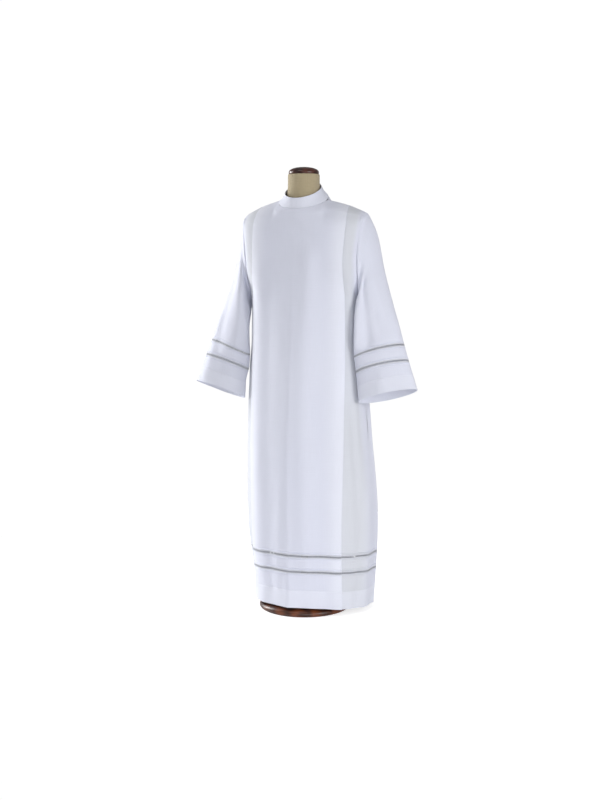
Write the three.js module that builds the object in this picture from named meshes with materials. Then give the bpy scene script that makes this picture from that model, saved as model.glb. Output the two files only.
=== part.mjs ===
// An alb, the long white robe of a priest, on a limbless tailor's dress form.
// Millimetres, +Z up. The robe faces -Y, the wearer's left is +X, the foot of
// the form stands on z = 0 and its pole is the Z axis.

import * as THREE from 'three';

// ---- Driving sizes ---------------------------------------------------------

const WALL = 2; // a cloth wall: the cloth, its turnings and the air in them
const SEAM_GAP = 0.3; // between two pieces that are sewn together

// Heights of the robe. From the chest up, "height" runs over the shoulder and
// reaches SHOULDER_TOP at the shoulder seam and the foot of the collar.
const HEM_HEIGHT = 34;
const CHEST_HEIGHT = 1396;
const SHOULDER_TOP = 1500;
const SHOULDER_ROUNDING = 0.5; // how high the chest stays upright before it turns in

// Openwork insertions let into the skirt and the sleeves.
const INSERTION_WIDTH = 14;
const SKIRT_INSERTIONS = [224, 166]; // heights of their middle lines
const SLEEVE_INSERTIONS = [494, 553]; // distances from the shoulder down the sleeve

// Pleats: each side of the front is folded once towards the middle.
const PLEAT_DEPTH = 0.17; // as a share of the way from the middle to the fold
const LAYER_GAP = 0.8; // air between two layers of a pleat
const LAYER_STEP = WALL + LAYER_GAP;
const CREASE_REACH = 70; // half width of the ironed crease down the middle

// The slit in the wearer's left side seam.
const SLIT_TOP = 745;
const SLIT_BOTTOM = 615;
const SLIT_MIDDLE = (SLIT_TOP + SLIT_BOTTOM) / 2;
const SLIT_GAPE = 4;

// Armhole: an upright oval, open between the front and the back.
const ARMHOLE_CENTRE_HEIGHT = 1285;
const ARMHOLE_HALF_HEIGHT = 145;
const ARMHOLE_HALF_DEPTH = 62;
const ARMHOLE_ANGLES = [0, 13.3, 26.7, 40, 60, 80, 100, 120, 140, 160, 180];
const CHEST_ANGLE = 40; // the point of the oval that lies at CHEST_HEIGHT

// The trunk of the robe, a row for each level from the chest to the hem. The
// skirt hangs a little fuller on the wearer's left, and its sides and back sag
// below the level of its middle front.
const TRUNK = [
  { height: 1396, left: 233, right: 233, sideY: 16, frontY: -93, backY: 100, roundness: 3.0, foldX: 167, crease: 0, sag: 0 },
  { height: 1310, left: 227, right: 227, sideY: 18, frontY: -100, backY: 120, roundness: 2.95, foldX: 168, crease: 1, sag: 0 },
  { height: 1212, left: 220, right: 220, sideY: 20, frontY: -108, backY: 136, roundness: 2.7, foldX: 169, crease: 2, sag: 0 },
  { height: 1140, left: 208, right: 208, sideY: 22, frontY: -114, backY: 144, roundness: 2.4, foldX: 170, crease: 3, sag: 0 },
  { height: 1000, left: 209, right: 209, sideY: 25, frontY: -125, backY: 156, roundness: 2.25, foldX: 171, crease: 3, sag: 2 },
  { height: 870, left: 215, right: 214, sideY: 30, frontY: -136, backY: 167, roundness: 2.2, foldX: 173, crease: 4, sag: 4 },
  { height: 735, left: 225, right: 221, sideY: 36, frontY: -145, backY: 178, roundness: 2.2, foldX: 174, crease: 4, sag: 6 },
  { height: 615, left: 233, right: 225, sideY: 42, frontY: -152, backY: 186, roundness: 2.2, foldX: 175, crease: 5, sag: 7 },
  { height: 504, left: 243, right: 228, sideY: 48, frontY: -153, backY: 192, roundness: 2.2, foldX: 174, crease: 5, sag: 9 },
  { height: 393, left: 250, right: 230, sideY: 52, frontY: -152, backY: 196, roundness: 2.2, foldX: 172, crease: 5, sag: 10 },
  { height: 282, left: 251, right: 226, sideY: 52, frontY: -150, backY: 198, roundness: 2.2, foldX: 170, crease: 5, sag: 12 },
  { height: 166, left: 246, right: 209, sideY: 50, frontY: -145, backY: 200, roundness: 2.2, foldX: 168, crease: 7, sag: 14 },
  { height: 34, left: 237, right: 200, sideY: 48, frontY: -141, backY: 200, roundness: 2.2, foldX: 166, crease: 10, sag: 16 },
];

// The shoulder seam, from the foot of the collar out to the shoulder point.
const SHOULDER = [
  { x: 90, y: -9, z: 1475.2 },
  { x: 165, y: 4, z: 1455 },
  { x: 226, y: 15, z: 1430 },
];
const SHOULDER_FOLD_X = 165; // where the pleat meets the shoulder seam

// The collar stands on a tilted oval and leans in to a smaller one.
const COLLAR = [
  { halfWidth: 90, halfDepth: 79, centreY: -9, centreZ: 1476, slope: 0.42 },
  { halfWidth: 73, halfDepth: 74, centreY: -12, centreZ: 1492, slope: 0.435 },
  { halfWidth: 64, halfDepth: 70, centreY: -14, centreZ: 1510, slope: 0.45 },
];
const COLLAR_GAP = 0.8; // above the neck edge of the front and back
const COLLAR_SIDES = 32;
const COLLAR_FOOT_END = COLLAR[0].halfWidth / SHOULDER_FOLD_X; // place across of its widest point

// The sleeve, a row for each ring from just below the shoulder to the cuff.
// "along" is the distance from the shoulder point down the outer edge. Each
// ring runs between an outer and an inner point, with a half depth across, and
// its back hangs lower than its front by twice "drop".
const SLEEVE = [
  { along: 0, outerX: 226, outerY: 15, outerZ: 1430, innerX: 208, innerY: 22, innerZ: 1140, halfDepth: 62, drop: 0 },
  { along: 47, outerX: 246, outerY: 33, outerZ: 1392, innerX: 210, innerY: 4, innerZ: 1118, halfDepth: 50, drop: 2 },
  { along: 103, outerX: 263, outerY: 44, outerZ: 1340, innerX: 210, innerY: -22, innerZ: 1085, halfDepth: 46, drop: 4 },
  { along: 219, outerX: 287, outerY: 44, outerZ: 1227, innerX: 207, innerY: -45, innerZ: 1045, halfDepth: 42, drop: 6 },
  { along: 336, outerX: 321, outerY: 34, outerZ: 1116, innerX: 206, innerY: -52, innerZ: 1000, halfDepth: 38, drop: 9 },
  { along: 422, outerX: 350, outerY: 21, outerZ: 1036, innerX: 206, innerY: -50, innerZ: 960, halfDepth: 37, drop: 11 },
  { along: 494, outerX: 373, outerY: 10, outerZ: 968, innerX: 206, innerY: -47, innerZ: 925, halfDepth: 37, drop: 12 },
  { along: 553, outerX: 393, outerY: 0, outerZ: 914, innerX: 212, innerY: -42, innerZ: 872, halfDepth: 38, drop: 14 },
  { along: 658, outerX: 429, outerY: -14, outerZ: 816, innerX: 221, innerY: -37, innerZ: 765, halfDepth: 40, drop: 16 },
];
const SLEEVE_ROUNDNESS = 1.8; // below 2, so the tube lies flat with narrow ends
const SLEEVE_LENGTH = 658;

// The covered body of the dress form, a row for each level from the bottom up.
const FORM = [
  { height: 780, halfWidth: 136, halfDepth: 92, centreY: 24, roundness: 2.2 },
  { height: 790, halfWidth: 148, halfDepth: 102, centreY: 24, roundness: 2.2 },
  { height: 930, halfWidth: 158, halfDepth: 110, centreY: 22, roundness: 2.2 },
  { height: 1080, halfWidth: 142, halfDepth: 98, centreY: 18, roundness: 2.2 },
  { height: 1200, halfWidth: 158, halfDepth: 100, centreY: 12, roundness: 2.3 },
  { height: 1300, halfWidth: 182, halfDepth: 94, centreY: 10, roundness: 2.4 },
  { height: 1368, halfWidth: 196, halfDepth: 80, centreY: 8, roundness: 2.2 },
  { height: 1402, halfWidth: 198, halfDepth: 70, centreY: 5, roundness: 1.8 },
  { height: 1424, halfWidth: 184, halfDepth: 65, centreY: 1, roundness: 1.45 },
  { height: 1443, halfWidth: 148, halfDepth: 63, centreY: -3, roundness: 1.25 },
  { height: 1459, halfWidth: 103, halfDepth: 61, centreY: -6, roundness: 1.4 },
  { height: 1478, halfWidth: 66, halfDepth: 59, centreY: -8, roundness: 2 },
  { height: 1500, halfWidth: 58, halfDepth: 58, centreY: -8, roundness: 2 },
  { height: 1564, halfWidth: 56, halfDepth: 56, centreY: -8, roundness: 2 },
];
const FORM_SIDES = 32;
const NECK_CENTRE_Y = -8;
const POLE_RADIUS = 13;

// Turned profiles, as radius and height from the axis out and back.
const BASE_PROFILE = [
  [0, 0], [158, 0], [163, 2.5], [165.5, 8], [165, 14], [160, 20], [150, 24.5],
  [128, 28], [96, 31], [66, 35], [46, 40], [34, 46], [30, 50], [0, 50],
];
const CAP_PROFILE = [
  [0, 0], [50.5, 0], [53, 2], [53.6, 6], [52.6, 10.5], [49, 15], [42, 19], [31, 22.5], [16, 24.8], [0, 25.4],
];
const TURNED_SIDES = 32;

// ---- Materials -------------------------------------------------------------

const clothWhite = { color: 0xf1f3fb, roughness: 0.85, metalness: 0 };
const openworkGrey = { color: 0xc9ccd2, roughness: 0.9, metalness: 0 };
const linenBeige = { color: 0xcdbfa2, roughness: 0.9, metalness: 0 };
const darkWood = { color: 0x3a1712, roughness: 0.3, metalness: 0 };
const poleSteel = { color: 0x6b6863, roughness: 0.4, metalness: 0.8 };

// ---- Smooth tables and meshes ----------------------------------------------

// Reads one column of a table at any value of its key column, on a smooth curve
// through the rows. The key may run up or down.
function sample(table, keyName, key, columnName) {
  const rising = table[1][keyName] > table[0][keyName];
  const last = table.length - 2;
  let i = 0;
  while (i < last && (rising ? key > table[i + 1][keyName] : key < table[i + 1][keyName])) i += 1;
  const slope = (a, b) => (table[b][columnName] - table[a][columnName]) / (table[b][keyName] - table[a][keyName]);
  const tangent = (j) => slope(Math.max(j - 1, 0), Math.min(j + 1, table.length - 1));
  const span = table[i + 1][keyName] - table[i][keyName];
  const t = THREE.MathUtils.clamp((key - table[i][keyName]) / span, 0, 1);
  const t2 = t * t;
  const t3 = t2 * t;
  return (
    (2 * t3 - 3 * t2 + 1) * table[i][columnName] +
    (t3 - 2 * t2 + t) * span * tangent(i) +
    (3 * t2 - 2 * t3) * table[i + 1][columnName] +
    (t3 - t2) * span * tangent(i + 1)
  );
}

const radians = THREE.MathUtils.degToRad;

// A closed mesh from a list of points and triangles, turned to face outwards.
function solid(name, points, triangles, look) {
  let volume = 0;
  for (const [a, b, c] of triangles) {
    volume += points[a].dot(new THREE.Vector3().crossVectors(points[b], points[c]));
  }
  const facing = volume > 0 ? triangles : triangles.map(([a, b, c]) => [a, c, b]);
  const geometry = new THREE.BufferGeometry();
  geometry.setAttribute('position', new THREE.Float32BufferAttribute(points.flatMap((p) => p.toArray()), 3));
  geometry.setIndex(facing.flat());
  geometry.computeVertexNormals();
  const mesh = new THREE.Mesh(geometry, new THREE.MeshStandardMaterial(look));
  mesh.name = name;
  return mesh;
}

// A cloth wall between two grids of points, rows by columns. A ring of cloth is
// closed from its last column to its first.
function wall(name, outer, inner, isRing, look) {
  const rows = outer.length;
  const columns = outer[0].length;
  const points = [...outer.flat(), ...inner.flat()];
  const innerStart = rows * columns;
  const at = (row, column) => row * columns + (column % columns);
  const triangles = [];
  const quad = (a, b, c, d) => triangles.push([a, b, c], [a, c, d]);
  const lastColumn = isRing ? columns : columns - 1;
  for (let row = 0; row < rows - 1; row += 1) {
    for (let column = 0; column < lastColumn; column += 1) {
      const corners = [at(row, column), at(row + 1, column), at(row + 1, column + 1), at(row, column + 1)];
      const [a, b, c, d] = corners;
      quad(a, b, c, d);
      quad(innerStart + d, innerStart + c, innerStart + b, innerStart + a);
    }
  }
  const rim = (a, b) => quad(a, b, innerStart + b, innerStart + a);
  for (let column = 0; column < lastColumn; column += 1) {
    rim(at(0, column), at(0, column + 1));
    rim(at(rows - 1, column + 1), at(rows - 1, column));
  }
  if (!isRing) {
    for (let row = 0; row < rows - 1; row += 1) {
      rim(at(row + 1, 0), at(row, 0));
      rim(at(row, columns - 1), at(row + 1, columns - 1));
    }
  }
  return solid(name, points, triangles, look);
}

// A point on a rounded oval, at an angle from its +X end towards +Y.
function ovalPoint(halfWidth, halfDepth, roundness, angle) {
  const part = (value) => Math.sign(value) * Math.abs(value) ** (2 / roundness);
  return [halfWidth * part(Math.cos(angle)), halfDepth * part(Math.sin(angle))];
}

// ---- The trunk: front and back ---------------------------------------------

const FRONT = -1;
const BACK = 1;

function trunkSection(height) {
  const read = (column) => sample(TRUNK, 'height', height, column);
  return {
    left: read('left'),
    right: read('right'),
    sideY: read('sideY'),
    frontY: read('frontY'),
    backY: read('backY'),
    roundness: read('roundness'),
    foldX: read('foldX'),
    crease: read('crease'),
    sag: read('sag'),
  };
}

// Half the distance that the slit opens the seam, at a height on the robe.
function slitOpening(height) {
  const share = (height - SLIT_BOTTOM) / (SLIT_TOP - SLIT_BOTTOM);
  return share > 0 && share < 1 ? (SLIT_GAPE / 2) * Math.sin(Math.PI * share) : 0;
}

// How far the edge of the front or back stops short of the side line.
function edgeInset(height, isLeft) {
  const rise = (height - ARMHOLE_CENTRE_HEIGHT) / ARMHOLE_HALF_HEIGHT;
  const armhole = Math.abs(rise) < 1 ? ARMHOLE_HALF_DEPTH * Math.sqrt(1 - rise * rise) : 0;
  return armhole + SEAM_GAP / 2 + (isLeft ? slitOpening(height) : 0);
}

// A point on the trunk below the chest. "across" is 0 in the middle, 1 at the
// pleat's fold and 2 at the side edge, and is negative on the wearer's right.
function sectionPoint(face, across, height) {
  const s = trunkSection(height);
  const share = Math.abs(across);
  const halfWidth = across > 0 ? s.left : s.right;
  const depth = face === FRONT ? s.sideY - s.frontY : s.backY - s.sideY;
  let x = share * s.foldX;
  let reach;
  if (share <= 1) {
    reach = depth * (1 - (x / halfWidth) ** s.roundness) ** (1 / s.roundness);
    reach += face === FRONT ? s.crease * Math.max(0, 1 - x / CREASE_REACH) ** 2 : 0;
  } else {
    const foldAngle = Math.asin((s.foldX / halfWidth) ** (s.roundness / 2));
    const inset = edgeInset(height, across > 0);
    const edgeAngle = Math.acos((inset / depth) ** (s.roundness / 2));
    const angle = foldAngle + (share - 1) * (edgeAngle - foldAngle);
    x = halfWidth * Math.sin(angle) ** (2 / s.roundness);
    reach = depth * Math.cos(angle) ** (2 / s.roundness);
  }
  const z = height - s.sag * (face === FRONT ? (x / halfWidth) ** 2 : 1);
  return new THREE.Vector3(Math.sign(across) * x, s.sideY + face * reach, z);
}

// The upper edge of the front or back: the foot of the collar and the shoulder seam.
function topPoint(face, across) {
  const share = Math.abs(across);
  const shoulderPoint = SHOULDER[SHOULDER.length - 1];
  const outside = Math.max(0, share - 1) * (shoulderPoint.x - SHOULDER_FOLD_X);
  const x = Math.min(share, 1) * SHOULDER_FOLD_X + outside;
  const foot = COLLAR[0];
  let y;
  let z;
  if (x < foot.halfWidth) {
    y = foot.centreY + face * foot.halfDepth * Math.sqrt(1 - (x / foot.halfWidth) ** 2);
    z = foot.centreZ + foot.slope * (y - foot.centreY) - COLLAR_GAP;
  } else {
    y = sample(SHOULDER, 'x', x, 'y');
    z = sample(SHOULDER, 'x', x, 'z');
  }
  return new THREE.Vector3(Math.sign(across) * x, y + face * SEAM_GAP / 2, z);
}

// A point anywhere on the outside of the trunk, shoulders included.
function trunkPoint(face, across, height) {
  if (height <= CHEST_HEIGHT) return sectionPoint(face, across, height);
  const low = sectionPoint(face, across, CHEST_HEIGHT);
  const top = topPoint(face, across);
  const turn = low.clone().setZ(low.z + SHOULDER_ROUNDING * (top.z - low.z));
  const share = (height - CHEST_HEIGHT) / (SHOULDER_TOP - CHEST_HEIGHT);
  return new THREE.QuadraticBezierCurve3(low, turn, top).getPoint(share);
}

// The trunk's outward normal and its sideways tangent, away from the middle. On
// the shoulder seam the layers lie straight below each other.
function trunkFrame(face, across, height) {
  const step = 0.01;
  const right = trunkPoint(face, Math.min(across + step, 2), height);
  const left = trunkPoint(face, Math.max(across - step, -2), height);
  const above = trunkPoint(face, across, Math.min(height + 1, SHOULDER_TOP));
  const below = trunkPoint(face, across, Math.max(height - 1, HEM_HEIGHT));
  const tangent = right.sub(left).normalize();
  const isOnSeam = height >= SHOULDER_TOP && Math.abs(across) >= COLLAR_FOOT_END;
  const normal = tangent.clone().cross(above.sub(below)).normalize().multiplyScalar(-face);
  if (isOnSeam) normal.set(0, 0, 1);
  return { normal, outwards: tangent.multiplyScalar(Math.sign(across) || 1) };
}

function moved(point, direction, distance) {
  return point.clone().addScaledVector(direction, distance);
}

// The front's cross-section as the cloth lies: out to the fold, back under it
// towards the middle, and out again beneath to the side. Each stop has its
// place across, the depth of its layer's middle, and, on a turn, an angle.
const FACE_STOPS = [0, 0.13, 0.27, 0.4, 0.5, COLLAR_FOOT_END, 0.7, 0.85, 1];
const FIRST_TURN = [60, 120];
const SECOND_TURN = [90];
const UNDER_STOPS = [1, 1 - PLEAT_DEPTH];
const SIDE_STOPS = [1 - PLEAT_DEPTH, 1, 1.2, 1.45, 1.7, 2];

// One stop of the cross-section as a pair of points, on its face and its back.
function layerPair(side, across, height, depth, facing) {
  const place = side * across;
  const { normal } = trunkFrame(FRONT, place, height);
  const middle = moved(trunkPoint(FRONT, place, height), normal, -depth);
  return [moved(middle, normal, facing * WALL / 2), moved(middle, normal, -facing * WALL / 2)];
}

// One stop on a turn from a layer to the next one under it. A turn outwards has
// the cloth's face outside, and a turn inwards has it inside.
function turnPair(side, across, height, depth, angle, isOutwards) {
  const place = side * across;
  const { normal, outwards } = trunkFrame(FRONT, place, height);
  const centre = moved(trunkPoint(FRONT, place, height), normal, -depth - LAYER_STEP / 2);
  const sideways = isOutwards ? 1 : -1;
  const spoke = normal.clone().multiplyScalar(Math.cos(angle));
  spoke.addScaledVector(outwards, sideways * Math.sin(angle));
  const middle = moved(centre, spoke, LAYER_STEP / 2);
  return [moved(middle, spoke, sideways * WALL / 2), moved(middle, spoke, -sideways * WALL / 2)];
}

function frontHalfRow(side, height) {
  const surface = WALL / 2;
  const under = surface + LAYER_STEP;
  const beneath = under + LAYER_STEP;
  const sideDepth = (across) => surface + (beneath - surface) * Math.min(1, 2 - across);
  return [
    ...FACE_STOPS.map((across) => layerPair(side, across, height, surface, 1)),
    ...FIRST_TURN.map((angle) => turnPair(side, 1, height, surface, radians(angle), true)),
    ...UNDER_STOPS.map((across) => layerPair(side, across, height, under, -1)),
    ...SECOND_TURN.map((angle) => turnPair(side, 1 - PLEAT_DEPTH, height, under, radians(angle), false)),
    ...SIDE_STOPS.map((across) => layerPair(side, across, height, sideDepth(across), 1)),
  ];
}

function frontRow(height) {
  const wearersRight = frontHalfRow(-1, height).slice(1).reverse();
  return [...wearersRight, ...frontHalfRow(1, height)];
}

const BACK_STOPS = [0, 0.27, 0.46, COLLAR_FOOT_END, 0.75, 1, 1.35, 1.7, 2];

function backRow(height) {
  const stops = [...BACK_STOPS.slice(1).reverse().map((across) => -across), ...BACK_STOPS];
  return stops.map((across) => {
    const outside = trunkPoint(BACK, across, height);
    return [outside, moved(outside, trunkFrame(BACK, across, height).normal, -WALL)];
  });
}

function rowsToWall(name, rows, isRing, look) {
  const outer = rows.map((row) => row.map((pair) => pair[0]));
  const inner = rows.map((row) => row.map((pair) => pair[1]));
  return wall(name, outer, inner, isRing, look);
}

// The level on the trunk of a point of the armhole, given by its angle from the top.
function armholeHeight(degrees) {
  if (degrees < CHEST_ANGLE) return SHOULDER_TOP - (SHOULDER_TOP - CHEST_HEIGHT) * (degrees / CHEST_ANGLE);
  return ARMHOLE_CENTRE_HEIGHT + ARMHOLE_HALF_HEIGHT * Math.cos(radians(degrees));
}

// A tall piece is cut into the panel, two insertions, the band between them and
// the hem or cuff. Returns the levels of each, leaving a seam gap between them.
function cutPieces(stem, start, lines, end, levelsBetween) {
  const step = Math.sign(end - start);
  const half = (step * INSERTION_WIDTH) / 2;
  const seam = (step * SEAM_GAP) / 2;
  const cuts = [start, lines[0] - half, lines[0] + half, lines[1] - half, lines[1] + half, end];
  const endings = ['panel', 'insertion_upper', 'band', 'insertion_lower', 'hem'];
  return endings.map((ending, i) => {
    const from = cuts[i] + (i > 0 ? seam : 0);
    const to = cuts[i + 1] - (i < endings.length - 1 ? seam : 0);
    const between = levelsBetween.filter((level) => (level - from) * step > 1 && (to - level) * step > 1);
    const look = ending.startsWith('insertion') ? openworkGrey : clothWhite;
    return { name: `${stem}_${ending}`, levels: [from, ...between, to], look };
  });
}

const TRUNK_LEVELS = [
  ...ARMHOLE_ANGLES.slice(1).map(armholeHeight),
  1000, 870, SLIT_TOP, SLIT_MIDDLE, SLIT_BOTTOM, 504, 393, 290, 100,
];

function trunkPieces(stem, rowMaker) {
  const pieces = cutPieces(stem, SHOULDER_TOP, SKIRT_INSERTIONS, HEM_HEIGHT, TRUNK_LEVELS);
  return pieces.map(({ name, levels, look }) => rowsToWall(name, levels.map(rowMaker), false, look));
}

// ---- Sleeves ---------------------------------------------------------------

// Angles round a sleeve: from the top down the front, then up the back.
const SLEEVE_ANGLES = [
  ...ARMHOLE_ANGLES,
  ...ARMHOLE_ANGLES.slice(1, -1).reverse().map((degrees) => 360 - degrees),
];

// One point on the outside of a sleeve, for the wearer's left.
function sleevePoint(along, degrees) {
  const read = (column) => sample(SLEEVE, 'along', along, column);
  const outer = new THREE.Vector3(read('outerX'), read('outerY'), read('outerZ'));
  const inner = new THREE.Vector3(read('innerX'), read('innerY'), read('innerZ'));
  const centre = outer.clone().add(inner).multiplyScalar(0.5);
  const reach = outer.clone().sub(centre);
  const halfDepth = read('halfDepth');
  const backwards = new THREE.Vector3(0, 1, 0).projectOnPlane(reach.clone().normalize()).setLength(halfDepth);
  backwards.z -= read('drop');
  const [out, across] = ovalPoint(1, 1, SLEEVE_ROUNDNESS, radians(degrees));
  return centre.addScaledVector(reach, out).addScaledVector(backwards, -across);
}

// The ring of the armhole: it stands just off the edges of the front and back.
function armholePair(degrees) {
  const height = armholeHeight(degrees <= 180 ? degrees : 360 - degrees);
  const faces = degrees % 180 === 0 ? [FRONT, BACK] : [degrees < 180 ? FRONT : BACK];
  const edge = new THREE.Vector3();
  const off = new THREE.Vector3();
  for (const face of faces) {
    const { normal, outwards } = trunkFrame(face, 2, height);
    edge.addScaledVector(trunkPoint(face, 2, height), 1 / faces.length);
    off.add(normal).add(outwards);
  }
  edge.addScaledVector(off.setLength(1), SEAM_GAP);
  const middle = new THREE.Vector3(edge.x, trunkSection(height).sideY, ARMHOLE_CENTRE_HEIGHT);
  return [edge, moved(edge, middle.sub(edge).normalize(), WALL)];
}

function sleevePair(along, degrees) {
  const outside = sleevePoint(along, degrees);
  const turn = 2;
  const step = 4;
  const around = sleevePoint(along, degrees + turn).sub(sleevePoint(along, degrees - turn));
  const down = sleevePoint(Math.min(along + step, SLEEVE_LENGTH), degrees);
  down.sub(sleevePoint(along - step, degrees));
  return [outside, moved(outside, around.cross(down).normalize(), -WALL)];
}

function sleeveRow(along) {
  return SLEEVE_ANGLES.map((degrees) => (along > 0 ? sleevePair(along, degrees) : armholePair(degrees)));
}

function mirrored(row) {
  return row.map((pair) => pair.map((point) => new THREE.Vector3(-point.x, point.y, point.z)));
}

function sleevePieces(stem, isLeft) {
  const rings = SLEEVE.map((row) => row.along);
  return cutPieces(stem, 0, SLEEVE_INSERTIONS, SLEEVE_LENGTH, rings).map(({ name, levels, look }) => {
    const rows = levels.map(sleeveRow).map((row) => (isLeft ? row : mirrored(row)));
    return rowsToWall(name, rows, true, look);
  });
}

// ---- Collar ----------------------------------------------------------------

function collarPair(row, index) {
  const angle = (2 * Math.PI * index) / COLLAR_SIDES;
  return [0, WALL].map((inset) => {
    const x = (row.halfWidth - inset) * Math.cos(angle);
    const y = (row.halfDepth - inset) * Math.sin(angle);
    return new THREE.Vector3(x, row.centreY + y, row.centreZ + row.slope * y);
  });
}

function collarPiece() {
  const rows = COLLAR.map((row) => Array.from({ length: COLLAR_SIDES }, (_, index) => collarPair(row, index)));
  return rowsToWall('collar', rows, true, clothWhite);
}

// ---- The dress form --------------------------------------------------------

function formBody() {
  const points = [];
  for (const row of FORM) {
    for (let i = 0; i < FORM_SIDES; i += 1) {
      const [x, y] = ovalPoint(row.halfWidth, row.halfDepth, row.roundness, (2 * Math.PI * i) / FORM_SIDES);
      points.push(new THREE.Vector3(x, row.centreY + y, row.height));
    }
  }
  const triangles = [];
  for (let ring = 0; ring < FORM.length - 1; ring += 1) {
    for (let i = 0; i < FORM_SIDES; i += 1) {
      const next = (i + 1) % FORM_SIDES;
      const [a, b] = [ring * FORM_SIDES + i, ring * FORM_SIDES + next];
      triangles.push([a, b, b + FORM_SIDES], [a, b + FORM_SIDES, a + FORM_SIDES]);
    }
  }
  const topStart = (FORM.length - 1) * FORM_SIDES;
  for (let i = 1; i < FORM_SIDES - 1; i += 1) {
    triangles.push([0, i + 1, i], [topStart, topStart + i, topStart + i + 1]);
  }
  return solid('form_body', points, triangles, linenBeige);
}

function turned(name, profile, look) {
  const outline = profile.map(([radius, height]) => new THREE.Vector2(radius, height));
  const geometry = new THREE.LatheGeometry(outline, TURNED_SIDES);
  geometry.rotateX(Math.PI / 2);
  const mesh = new THREE.Mesh(geometry, new THREE.MeshStandardMaterial(look));
  mesh.name = name;
  return mesh;
}

function formPieces() {
  const base = turned('form_base', BASE_PROFILE, darkWood);
  const poleBottom = BASE_PROFILE[BASE_PROFILE.length - 1][1] + SEAM_GAP;
  const poleLength = FORM[0].height - SEAM_GAP - poleBottom;
  const poleProfile = [[0, 0], [POLE_RADIUS, 0], [POLE_RADIUS, poleLength], [0, poleLength]];
  const pole = turned('form_pole', poleProfile, poleSteel);
  pole.position.z = poleBottom;
  const cap = turned('form_cap', CAP_PROFILE, darkWood);
  cap.position.set(0, NECK_CENTRE_Y, FORM[FORM.length - 1].height + SEAM_GAP);
  return [base, pole, formBody(), cap];
}

// ---- Assembly --------------------------------------------------------------

const alb = new THREE.Group();
alb.add(...trunkPieces('front', frontRow));
alb.add(...trunkPieces('back', backRow));
alb.add(...sleevePieces('sleeve_left', true));
alb.add(...sleevePieces('sleeve_right', false));
alb.add(collarPiece());
alb.add(...formPieces());

export default alb;
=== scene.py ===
import math

import bpy
import numpy as np
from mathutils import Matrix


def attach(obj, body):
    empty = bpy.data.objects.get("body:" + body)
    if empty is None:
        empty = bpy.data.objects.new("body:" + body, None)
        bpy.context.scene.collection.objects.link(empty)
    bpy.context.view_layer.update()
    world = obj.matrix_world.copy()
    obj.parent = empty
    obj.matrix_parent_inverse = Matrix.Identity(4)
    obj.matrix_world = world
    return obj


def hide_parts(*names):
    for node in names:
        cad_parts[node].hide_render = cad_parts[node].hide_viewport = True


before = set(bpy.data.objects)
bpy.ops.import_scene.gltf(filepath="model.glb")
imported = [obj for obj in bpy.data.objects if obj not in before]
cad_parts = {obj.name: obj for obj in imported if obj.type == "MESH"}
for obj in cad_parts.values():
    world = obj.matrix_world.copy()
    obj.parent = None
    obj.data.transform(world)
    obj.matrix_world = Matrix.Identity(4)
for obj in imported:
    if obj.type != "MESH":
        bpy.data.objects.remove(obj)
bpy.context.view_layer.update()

# An alb on a limbless dress form. The tables repeat part.mjs, in millimetres,
# and every mesh is turned into metres as it is made. The wearer's left is +X
# and the front is -Y.
MM = 0.001
FRONT = -1
BACK = 1

# ---- Camera: chest high, and turned to the wearer's left ----

CAMERA_PLACE = (1.6838, -4.0651, 1.262)
CAMERA_PITCH = 6.5  # degrees below level
CAMERA_TURN = 22.416
LENS = 55.125


def add_object(name, data):
    made = bpy.data.objects.new(name, data)
    bpy.context.collection.objects.link(made)
    return made


def make_camera():
    data = bpy.data.cameras.new("camera")
    data.lens = LENS
    data.sensor_width = 36
    data.clip_end = 60
    camera = add_object("camera", data)
    camera.location = CAMERA_PLACE
    camera.rotation_euler = (math.radians(90 - CAMERA_PITCH), 0, math.radians(CAMERA_TURN))
    bpy.context.scene.camera = camera


make_camera()

# ---- Driving sizes, as in part.mjs ----

SEAM_GAP = 0.3
HEM_HEIGHT = 34
CHEST_HEIGHT = 1396
SHOULDER_TOP = 1500
SHOULDER_ROUNDING = 0.5
INSERTION_WIDTH = 14
SKIRT_INSERTIONS = (224, 166)
SLEEVE_INSERTIONS = (494, 553)
PLEAT_DEPTH = 0.17
LAYER_STEP = 2.8
CREASE_REACH = 70
SURFACE = 0.6  # from the outside of the CAD wall in to the middle of the cloth
SLIT_TOP = 745
SLIT_BOTTOM = 615
SLIT_GAPE = 4
ARMHOLE_CENTRE = 1285
ARMHOLE_HALF_HEIGHT = 145
ARMHOLE_HALF_DEPTH = 62
CHEST_ANGLE = 40
SLEEVE_LENGTH = 658
SLEEVE_ROUNDNESS = 1.8

# height, left, right, side y, front y, back y, roundness, fold x, crease, sag
TRUNK = [
    (1396, 233, 233, 16, -93, 100, 3.0, 167, 0, 0),
    (1310, 227, 227, 18, -100, 120, 2.95, 168, 1, 0),
    (1212, 220, 220, 20, -108, 136, 2.7, 169, 2, 0),
    (1140, 208, 208, 22, -114, 144, 2.4, 170, 3, 0),
    (1000, 209, 209, 25, -125, 156, 2.25, 171, 3, 2),
    (870, 215, 214, 30, -136, 167, 2.2, 173, 4, 4),
    (735, 225, 221, 36, -145, 178, 2.2, 174, 4, 6),
    (615, 233, 225, 42, -152, 186, 2.2, 175, 5, 7),
    (504, 243, 228, 48, -153, 192, 2.2, 174, 5, 9),
    (393, 250, 230, 52, -152, 196, 2.2, 172, 5, 10),
    (282, 251, 226, 52, -150, 198, 2.2, 170, 5, 12),
    (166, 246, 209, 50, -145, 200, 2.2, 168, 7, 14),
    (34, 237, 200, 48, -141, 200, 2.2, 166, 10, 16),
]

# height, and how much further out the wearer's left pleat folds than the right
# one. This and HEM_LIFT are for the looks only, and aren't in part.mjs.
LEFT_FOLD_SHIFT = [(34, 12), (280, 9), (700, 7), (1110, 6), (1262, 3), (1330, 8), (1396, 15)]

HEM_LIFT = 12  # how much higher the hem hangs at the wearer's right side

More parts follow.
